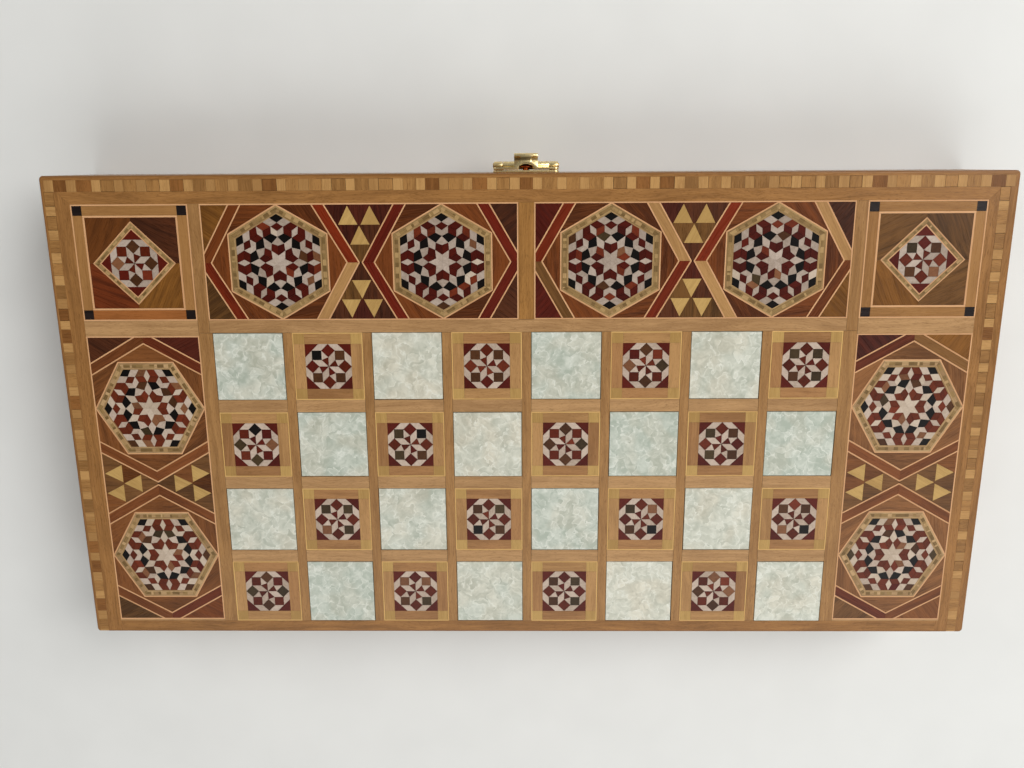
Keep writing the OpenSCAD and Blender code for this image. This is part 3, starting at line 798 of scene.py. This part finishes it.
def rosette(tiles, centre, angle, pale="bone_pale"):
    """An eight-pointed rosette of rhombs and squares on a square tile."""
    side = rosette_w / 2 / (1 + math.sqrt(2))
    mixes = [DARK_MIX, DEEP_MIX]
    tiles.rng.shuffle(mixes)
    tiles.move(centre, angle)
    for k in range(8):
        a, b, c, d = (side * unit(45 * k + lean) for lean in (0, 45, 90, -45))
        far = a + b
        if k % 2 == 0:
            tiles.add([0j, a, b], tiles.pick(DEEP_MIX), gap=tile_seam)
            tiles.add([a, far, b], pale, gap=tile_seam)
        else:
            tiles.add([0j, a, far, b], pale, gap=tile_seam)
        tiles.add([a, a + d, far + d, far], tiles.pick(mixes[k % 2]), gap=tile_seam)
        tiles.add([far, far + d, far + d + c, far + c], pale, gap=tile_seam)
    reach = rosette_w / 2
    for k in range(4):
        corner = [complex(reach, side), complex(reach, reach), complex(side, reach)]
        tiles.add(turned(corner, 90 * k), "wine")


def corner_panel(objects, s):
    """A square panel with a rosette in a turned square frame."""
    grounds, frames, bands, ebony, tiles = objects
    centre = complex(s * side_x, front_y)
    for part in (grounds, frames, bands, ebony):
        part.move(centre)
    inner = panel_b / 2 - corner_band
    line_in = inner + corner_inner_line
    line_out = panel_b / 2 - corner_outer_line
    bands.add_frame(panel_b, panel_b, corner_outer_line, "string")
    bands.add_frame(2 * line_in, 2 * line_in, corner_inner_line, "string")
    for k in range(4):
        kind = "tan_red" if k == 1 and s > 0 else "tan"
        strip = turned(rect(line_in, line_out, -line_in, line_in), 90 * k)
        bands.add(strip, kind, 90 * k + 90)
        ebony.add(turned(rect(line_in, line_out, line_in, line_out), 90 * k), "ebony")
    woods = ("red_rose", "golden_wood", "dark_rose", "umber_wood")
    if s < 0:
        woods = ("golden_wood", "olive_wood", "olive_wood", "olive_wood")
    for k in range(4):
        quadrant = turned(rect(0, inner, 0, inner), 90 * k)
        out = unit(90 * k + 45)
        grounds.add(keep(quadrant, out, out * diamond_w / 2), woods[k],
                    90 * k - 45 + ground_lean * s)
    square = block(2 * diamond_w, 2 * diamond_w)
    low = rosette_w / 2
    high = diamond_w / 2
    for angle in (45, 135, 225, 315):
        outer = side_strip(square, angle, 4, high - diamond_line, high)
        frames.add(outer, "string", angle - 90)
        dashes(frames, square, angle, 4, low + diamond_line, high - diamond_line)
        line = side_strip(square, angle, 4, low, low + diamond_line)
        frames.add(line, "string", angle - 90)
    rosette(tiles, centre, 45, "bone")


def dashes(frames, outline, angle, folds, low, high, pale="olive_light"):
    """A band of three rows beside one side, with light and dark blocks in the middle row."""
    row = min(dash_row, (high - low) * dash_share)
    mid = high - dash_middle * (high - low)
    frames.add(side_strip(outline, angle, folds, low, mid - row / 2), pale, angle + 90)
    frames.add(side_strip(outline, angle, folds, mid + row / 2, high), pale, angle + 90)
    centre_row = side_strip(outline, angle, folds, mid - row / 2, mid + row / 2)
    run = unit(angle + 90)
    reach = [along(p, run) for p in centre_row]
    if not reach:
        return
    at = min(reach)
    dark = frames.rng.random() < 0.5
    while at < max(reach):
        length = frames.rng.uniform(dash_short, dash_long)
        part = keep(keep(centre_row, run, run * at), -run, run * (at + length))
        kind = "olive_dark" if dark else frames.pick(((pale, 70), ("olive_pale", 30)))
        frames.add(part, kind, angle + 90, dash_seam)
        at += length
        dark = not dark or frames.rng.random() < dash_twice


# Rhombs of one sector: name, 2 where it has a mirrored twin and else 1, sides up and up to the
# left to its first corner, and its two directions
STAR = (
    ("bone", 1, (0, 0), (90, 30)), ("red", 2, (1, 0), (90, 150)),
    ("bone", 1, (2, 0), (30, 150)), ("bone", 1, (1, 1), (90, 150)),
    ("black", 2, (2, 1), (30, 150)), ("bone", 2, (3, 0), (90, 150)),
    ("red", 1, (4, 0), (30, 150)), ("red", 2, (2, 2), (30, 90)),
    ("bone", 1, (2, 2), (90, 150)), ("red", 2, (3, 2), (30, 150)),
    ("bone", 2, (4, 1), (30, 150)), ("black", 1, (5, 0), (30, 150)),
)

# How far a rhomb draws its corners in, or pushes them out, as a share of the way to its middle
PINCH = {"bone": 0.2, "red": 0.0, "black": -0.12}


def left_round(outline):
    return outline if area(outline) > 0 else outline[::-1]


def star_tiles(side):
    """Each rhomb's name, whether it is in the heart, its turn and its outline."""
    for name, sides, (up, left), (one, two) in STAR:
        corner = up * unit(90) + left * unit(150)
        rhomb = [corner, corner + unit(one), corner + unit(one) + unit(two), corner + unit(two)]
        for mirrored in range(sides):
            for k in range(6):
                drawn = [p * side * unit(60 * k) for p in rhomb]
                if mirrored:
                    drawn = [-p.conjugate() for p in drawn]
                yield name, (up, left) == (0, 0), k, left_round(drawn)


def lattice(p, side):
    """The whole numbers of sides that lead to a corner, up and up to the left."""
    left = -p.real / side / cos_30
    return round(p.imag / side - left / 2), round(left)


def pinches(drawn_tiles, side):
    """How far each shared corner moves, so that pale tiles shrink and black ones grow."""
    moves = {}
    for name, _, _, outline in drawn_tiles:
        middle = sum(outline) / 4
        for p in outline:
            on_edge = max(along(p, unit(60 * k)) for k in range(6)) > star_w / 2 - border_gap
            pull = 0 if on_edge else PINCH[name]
            key = lattice(p, side)
            moves[key] = moves.get(key, 0j) + (middle - p) * pull
    return moves


def star(tiles, centre, angle, mixes):
    """A hexagon of rhombs round a six-pointed star."""
    tiles.move(centre, angle)
    side = star_w / 2 / (6 * cos_30)
    drawn_tiles = list(star_tiles(side))
    moves = pinches(drawn_tiles, side)
    for name, is_heart, k, outline in drawn_tiles:
        kind = tiles.pick(mixes["heart" if is_heart else name])
        joint = pale_seam if name == "bone" else tile_seam
        tiles.add([p + moves[lattice(p, side)] for p in outline], kind, 60 * k, joint)


def hexagon_panel(objects, centre, angle, length, woods):
    """A border panel with two star hexagons, four chevrons and two groups of gold triangles."""
    grounds, bands, frames, gold, tiles = objects
    half_b = panel_b / 2
    hex_at = length / 4 + hex_shift
    inner_line = (hex_at - chevron_gap - chevron_w) * cos_30
    outer_line = (hex_at - chevron_gap) * cos_30
    inner = rect(-length / 2 + string_w, length / 2 - string_w, -half_b + string_w,
                 half_b - string_w)
    grounds.move(centre, angle)
    gold.move(centre, angle)
    grounds.add_frame(length, panel_b, string_w, "string")
    crossing(grounds, gold, inner, hex_at, outer_line + string_w / 2, woods["crossing"])
    for s in (-1, 1):
        view = [p - s * hex_at for p in inner]
        middle = centre + s * hex_at * unit(angle)
        for part in (grounds, bands, frames):
            part.move(middle, angle)
        medallion(grounds, frames, view, inner_line - string_w / 2, woods)
        for side in (-1, 1):
            for t in (-1, 1):
                lines = (inner_line, outer_line)
                chevron_arm(bands, view, lines, side, t, woods["arms"][s, side, t])
        for t in (-1, 1):
            out = complex(s, t / math.sqrt(3)) / abs(complex(1, 1 / math.sqrt(3)))
            end = keep(keep(view, complex(0, t)), out, out * (outer_line + string_w / 2))
            grounds.add(end, woods["ends"][s, t], woods["end_grain"] * s * t)
        star(tiles, middle, angle, woods["tiles"])


def chevron_arm(bands, view, lines, side, t, kind):
    """One arm of a chevron: a band of coloured wood between two pale lines."""
    out = complex(side * cos_30, t * math.sin(math.radians(30)))
    grain = math.degrees(cmath.phase(out)) + 90
    half_view = keep(view, complex(0, t))
    edges = [line + s * string_w / 2 for line in lines for s in (-1, 1)]
    for low, high, wood_name in zip(edges, edges[1:], ("string", kind, "string")):
        strip = keep(keep(half_view, out, out * low), -out, out * high)
        bands.add(strip, wood_name, grain)


def medallion(grounds, frames, view, reach, woods):
    """The frame of a star hexagon and the six ground pieces round it."""
    edge = hex_w / 2
    inside = star_w / 2
    window = view
    for angle in (30, 150, 210, 330):
        window = keep(window, -unit(angle), unit(angle) * reach)
    for k in range(6):
        angle = 60 * k
        lean = 90 if k % 3 == 0 else angle + medallion_lean
        grounds.add(side_strip(window, angle, 6, edge, 2 * edge), woods["ground"], lean)
        outer = edge - hex_outer_line
        inner = inside + hex_inner_line
        frames.add(side_strip(view, angle, 6, outer, edge), "string", angle + 90)
        frames.add(side_strip(view, angle, 6, inside, inner), "olive_pale", angle + 90)
        dashes(frames, view, angle, 6, inner, outer, woods["band"])


def crossing(grounds, gold, inner, hex_at, reach, choices):
    """Gold triangles and the dark pieces between them, where two chevrons meet."""
    for turn in (0, 180):
        region = inner
        for s in (-1, 1):
            out = unit(90 - 60 * s)
            region = keep(region, out, out * reach - s * hex_at)
        edge = panel_b / 2 - tri_in
        for centres in ((-tri_x, tri_x), (0,)):
            base = edge - tri_h
            row = keep(region, 1j, complex(0, base))
            region = keep(region, -1j, complex(0, base))
            bounds = [None, *centres, None]
            for left, right in zip(bounds, bounds[1:]):
                part = row
                if left is not None:
                    part = keep(part, 1 + 0j, complex(left, edge))
                    part = keep(part, complex(tri_h, tri_w / 2), complex(left, edge))
                if right is not None:
                    part = keep(part, -1 + 0j, complex(right, edge))
                    part = keep(part, complex(-tri_h, tri_w / 2), complex(right, edge))
                grounds.add(turned(part, turn), grounds.pick(choices), 90)
            for x in centres:
                triangle = [complex(x, edge), complex(x - tri_w / 2, base),
                            complex(x + tri_w / 2, base)]
                gold.add(turned(triangle, turn), "gold", 60)
            edge = base - tri_gap
        grounds.add(turned(region, turn), grounds.pick(choices), 90)


CHEVRONS = {"R": "chevron_red", "D": "chevron_dark", "B": "chevron_brown", "T": "chevron_tan",
            "G": "chevron_olive", "N": "chevron_nut", "U": "chevron_rust"}


def arms(letters):
    """Woods of a panel's arms: by hexagon, then by chevron, then by arm, from -1 to 1."""
    keys = [(s, side, t) for s in (-1, 1) for side in (-1, 1) for t in (-1, 1)]
    return {key: CHEVRONS[letter] for key, letter in zip(keys, letters)}


def ends(*kinds):
    """Woods of a panel's four corners, in the same order."""
    return dict(zip([(s, t) for s in (-1, 1) for t in (-1, 1)], kinds))


# Border panels: middle, turn, length and woods, first the front ones
FRONT = {"ground": "rosewood", "band": "olive_light", "crossing": CROSSING_MIX,
         "tiles": FRONT_TILES}
SIDE = {"band": "olive_bright", "crossing": NUT_MIX, "tiles": SIDE_TILES}
PANELS = (
    (complex(front_x, front_y), 0, front_l,
     {**FRONT, "arms": arms("DDDDRTBR"), "end_grain": 35,
      "ends": ends("dark_rose", "dark_rose", "golden_wood", "olive_wood")}),
    (complex(-front_x, front_y), 0, front_l,
     {**FRONT, "arms": arms("TBRTTRRG"), "end_grain": 50,
      "ends": ends("dark_rose", "golden_wood", "wine_wood", "wine_wood")}),
    (complex(side_x, side_y), 90, side_l,
     {**SIDE, "arms": arms("NUNNNNNU"), "end_grain": 60, "ground": "nut_wood",
      "ends": ends("dark_rose", "maroon", "olive_wood", "rosewood")}),
    (complex(-side_x, side_y), 90, side_l,
     {**SIDE, "arms": arms("UGNNNNUN"), "end_grain": 40, "ground": "nut_pale",
      "ends": ends("maroon", "golden_wood", "olive_grey", "nut_wood")}),
)


def border_panels(half):
    """The inlay of the two corner panels and the four long panels."""
    slots = {"panel_grounds": "rosewood", "chevron_bands": "red_band",
             "medallion_frames": "olive_band", "gold_triangles": "gold_wood",
             "star_hexagons": "star", "corner_frames": "tan_band", "ebony_blocks": "ebony",
             "rosette_tiles": "rosette"}
    parts = {name: Inlay(half, name) for name in slots}
    grounds, bands, frames, gold, stars, corner, ebony, tiles = parts.values()
    for place, angle, length, woods in PANELS:
        hexagon_panel((grounds, bands, frames, gold, stars), place, angle, length, woods)
    for s in (-1, 1):
        corner_panel((grounds, frames, corner, ebony, tiles), s)
    for centre in cells(False):
        rosette(tiles, centre, 90 * tiles.rng.randrange(4))
    for name, slot in slots.items():
        parts[name].build(slot)


def playing_points(half):
    """Light and dark points of the playing board, each in two matched halves with a line."""
    light = Inlay(half, "light_points", field_z + point_t, point_t)
    dark = Inlay(half, "dark_points", field_z + point_t, point_t)
    for s in (-1, 1):
        for k in range(points):
            part, face_wood, line_wood = light, "maple", "mahogany"
            if (k % 2 == 0) == (s > 0):
                part, face_wood, line_wood = dark, "mahogany", "maple"
            part.move(complex(0, (k - (points - 1) / 2) * point_step), 0 if s > 0 else 180)
            base = cavity_x - point_in
            tip = base - point_l
            shape = [complex(base, -point_w / 2), complex(base, point_w / 2), complex(tip, 0)]
            face = shrink(shape, point_line)
            lean = math.degrees(math.atan2(point_w / 2, point_l))
            for t in (-1, 1):
                line = [shape[(t + 1) // 2], complex(tip, 0), face[-1], face[(t + 1) // 2]]
                part.add(left_round(line), line_wood, -t * lean)
                part.add(keep(face, complex(0, t)), face_wood, t * (point_fan - lean))
            foot = [shape[0], shape[1], face[1], face[0]]
            part.add(left_round(foot), line_wood, 90)
    light.build("maple")
    dark.build("mahogany")


# Pieces that keep their CAD shape

def clean_copy(name):
    """A copy of a CAD node's mesh, with its split corners joined and its flat faces whole."""
    bm = bmesh.new()
    bm.from_mesh(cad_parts[name].data)
    bmesh.ops.remove_doubles(bm, verts=bm.verts, dist=corner_gap * MM)
    bmesh.ops.dissolve_limit(bm, angle_limit=math.radians(flat_angle), verts=bm.verts,
                             edges=bm.edges)
    mesh = bpy.data.meshes.new(name)
    bm.to_mesh(mesh)
    bm.free()
    mesh.materials.clear()
    return mesh


def applied(piece):
    """Replaces an object's mesh by what its modifiers make of it."""
    graph = bpy.context.evaluated_depsgraph_get()
    mesh = bpy.data.meshes.new_from_object(piece.evaluated_get(graph))
    piece.modifiers.clear()
    piece.data = mesh


def rounded_half(outer_z):
    """A block as large as one half of the box, with rounded edges, to trim the rails with."""
    low_z, high_z = sorted((half_h, outer_z))
    bm = bmesh.new()
    bmesh.ops.create_cube(bm, size=1)
    size = Vector((2 * (half_w - skim), back - front - 2 * skim, high_z - low_z - 2 * skim))
    bmesh.ops.scale(bm, vec=size * MM, verts=bm.verts)
    middle = Vector((0, (front + back) / 2, (low_z + high_z) / 2))
    bmesh.ops.translate(bm, vec=middle * MM, verts=bm.verts)
    for level_z, radius in ((None, corner_round), (outer_z, outer_round), (half_h, meeting_round)):
        picked = []
        for edge in bm.edges:
            heights = [v.co.z / MM for v in edge.verts]
            upright = abs(heights[0] - heights[1]) > 1
            flat = level_z is not None and all(abs(z - level_z) < 2 * skim for z in heights)
            sharp = edge.calc_face_angle(0) > math.radians(box_edge_angle)
            if sharp and (upright if level_z is None else flat):
                picked.append(edge)
        bmesh.ops.bevel(bm, geom=picked, offset=radius * MM, segments=bevel_steps,
                        profile=0.5, affect="EDGES", clamp_overlap=True)
    mesh = bpy.data.meshes.new("trim_block")
    bm.to_mesh(mesh)
    bm.free()
    return link_piece(mesh, "trim_block", "")


def ease_mitre(mesh, along_x):
    """Draws a rail back a little from its front mitres, so that the joint shows."""
    for vertex in mesh.vertices:
        x = vertex.co.x / MM
        y = vertex.co.y / MM
        on_mitre = abs((half_w - abs(x)) - (y - front)) < mitre_near
        if on_mitre and along_x:
            vertex.co.x -= math.copysign(mitre_ease * MM, x)
        elif on_mitre:
            vertex.co.y += mitre_ease * MM


def set_grain(mesh, along_x, seed):
    """Stores the place along and across the grain on every corner of a rail's mesh."""
    rng = random.Random(seed)
    shift = [rng.uniform(0, grain_reach) for _ in range(3)]
    values = []
    for vertex in mesh.vertices:
        x, y, z = vertex.co / MM
        run, across = (x, y) if along_x else (y, x)
        values += [run + shift[0], across + shift[1], z + shift[2]]
    store_grain(mesh, values, [rng.uniform(*rail_tones)] * len(mesh.polygons))


def rails(half):
    """The four walls of one half, with rounded outer edges and eased mitres."""
    trim = rounded_half(top_z if half == "lid" else 0)
    for side in ("front", "back", "left", "right"):
        name = f"{half}_{side}_rail"
        along_x = side in ("front", "back")
        mesh = clean_copy(name)
        if side != "back":
            ease_mitre(mesh, along_x)
        piece = link_piece(mesh, name, "wall_")
        cut = piece.modifiers.new("trim", "BOOLEAN")
        cut.operation = "INTERSECT"
        cut.solver = "EXACT"
        cut.object = trim
        applied(piece)
        piece.data.materials.clear()
        piece.data.materials.append(MATERIALS["beech"])
        for face in piece.data.polygons:
            face.material_index = 0
            face.use_smooth = max(abs(part) for part in face.normal) < flat_normal
        set_grain(piece.data, along_x, name)
        stand_for(piece, name, half, "beech")
    bpy.data.objects.remove(trim)


def boards(half):
    """The hidden plywood panel and the playing board keep their CAD nodes."""
    for name, wood_name in (("panel", "plywood"), ("field_board", "walnut")):
        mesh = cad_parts[f"{half}_{name}"].data
        mesh.materials.clear()
        mesh.materials.append(MATERIALS[wood_name])


def hardware(name, body, material, slot, radius=metal_round):
    """A metal piece with its CAD shape and softened edges."""
    mesh = clean_copy(name)
    mesh.materials.append(MATERIALS[material])
    piece = link_piece(mesh, name, "metal_")
    soft = piece.modifiers.new("soft_edges", "BEVEL")
    soft.width = radius * MM
    soft.segments = 2
    soft.limit_method = "ANGLE"
    soft.angle_limit = math.radians(metal_edge_angle)
    applied(piece)
    for face in piece.data.polygons:
        face.use_smooth = True
    piece.data.set_sharp_from_angle(angle=math.radians(metal_crease_angle))
    stand_for(piece, name, body, slot)


def all_hardware():
    for name, body in (("lid_hinge_leaves", "lid"), ("base_hinge_leaves", "base"),
                       ("clasp_keeper_plate", "lid"), ("clasp_leaf", "base")):
        hardware(name, body, "brass", "brass")
    hardware("clasp_hasp", "hasp", "brass_hasp", "brass")
    hardware("clasp_stud", "lid", "stud_painted_shade", "fittings")
    for name in ("hinge_pins", "clasp_pin"):
        hardware(name, "base", "brass_worn", "fittings")
    for name, body in (("lid_hinge_screws", "lid"), ("base_hinge_screws", "base"),
                       ("lid_clasp_screws", "lid"), ("base_clasp_screws", "base")):
        hardware(name, body, "brass_worn", "fittings", screw_round)


# Stage

def floor():
    """A square of paper, just below the box so that no two faces lie in one plane."""
    bpy.ops.mesh.primitive_grid_add(x_subdivisions=2, y_subdivisions=2, size=floor_size,
                                    location=(0, 0, -floor_gap))
    sheet = bpy.context.object
    sheet.name = "floor"
    floor_paper()
    sheet.data.materials.append(MATERIALS["floor_paper"])


def softbox(name, place, width, depth, power):
    """A large soft lamp that faces the middle of the box."""
    lamp = bpy.data.lights.new(name, "AREA")
    lamp.shape = "RECTANGLE"
    lamp.size = width
    lamp.size_y = depth
    lamp.energy = power
    holder = bpy.data.objects.new(name, lamp)
    holder.location = place
    aim = Vector(lamp_aim) - Vector(place)
    holder.rotation_euler = aim.to_track_quat("-Z", "Y").to_euler()
    bpy.context.scene.collection.objects.link(holder)


def lights():
    softbox("key", (-1.15, -0.8, 1.55), width=1.4, depth=1.1, power=31)
    softbox("fill", (1.4, -1.1, 1.3), width=1.4, depth=1.1, power=3)
    softbox("back", (-0.25, 1.1, 1.42), width=2.4, depth=1.3, power=17)


def surroundings():
    """A dim even light whose horizon looks pale, by itself and in what reflects it."""
    world = bpy.data.worlds.new("studio")
    world.use_nodes = True
    tree = world.node_tree
    direction = node(tree, "ShaderNodeTexCoord", {}).outputs["Generated"]
    height = node(tree, "ShaderNodeSeparateXYZ", {0: direction}).outputs[2]
    rays = node(tree, "ShaderNodeLightPath", {}).outputs
    seen = maths(tree, "MULTIPLY_ADD", rays["Is Glossy Ray"], mirrored_sky,
                 rays["Is Camera Ray"])
    added = ramp(tree, height, high_sky, low_sky, 0.0, pale_sky - dim_sky)
    strength = maths(tree, "MULTIPLY_ADD", seen, added, dim_sky)
    sky = tree.nodes["Background"]
    sky.inputs["Color"].default_value = (1.0, 1.0, 1.0, 1.0)
    tree.links.new(strength, sky.inputs["Strength"])
    bpy.context.scene.world = world


def camera():
    """The photograph's viewpoint: over the clasp edge, looking down at the face."""
    view = bpy.data.cameras.new("camera")
    view.lens = lens
    view.sensor_width = sensor_w
    view.clip_start = near_clip * MM
    holder = bpy.data.objects.new("camera", view)
    holder.location = Vector(camera_place) * MM
    holder.rotation_euler = [math.radians(a) for a in camera_turn]
    bpy.context.scene.collection.objects.link(holder)
    bpy.context.scene.camera = holder


camera()
for half_name in halves:
    rails(half_name)
    boards(half_name)
    edge_blocks(half_name)
    strips(half_name)
    pearl_squares(half_name)
    dark_cells(half_name)
    border_panels(half_name)
    playing_points(half_name)
all_hardware()
floor()
lights()
surroundings()
bpy.context.scene.view_settings.view_transform = "Standard"
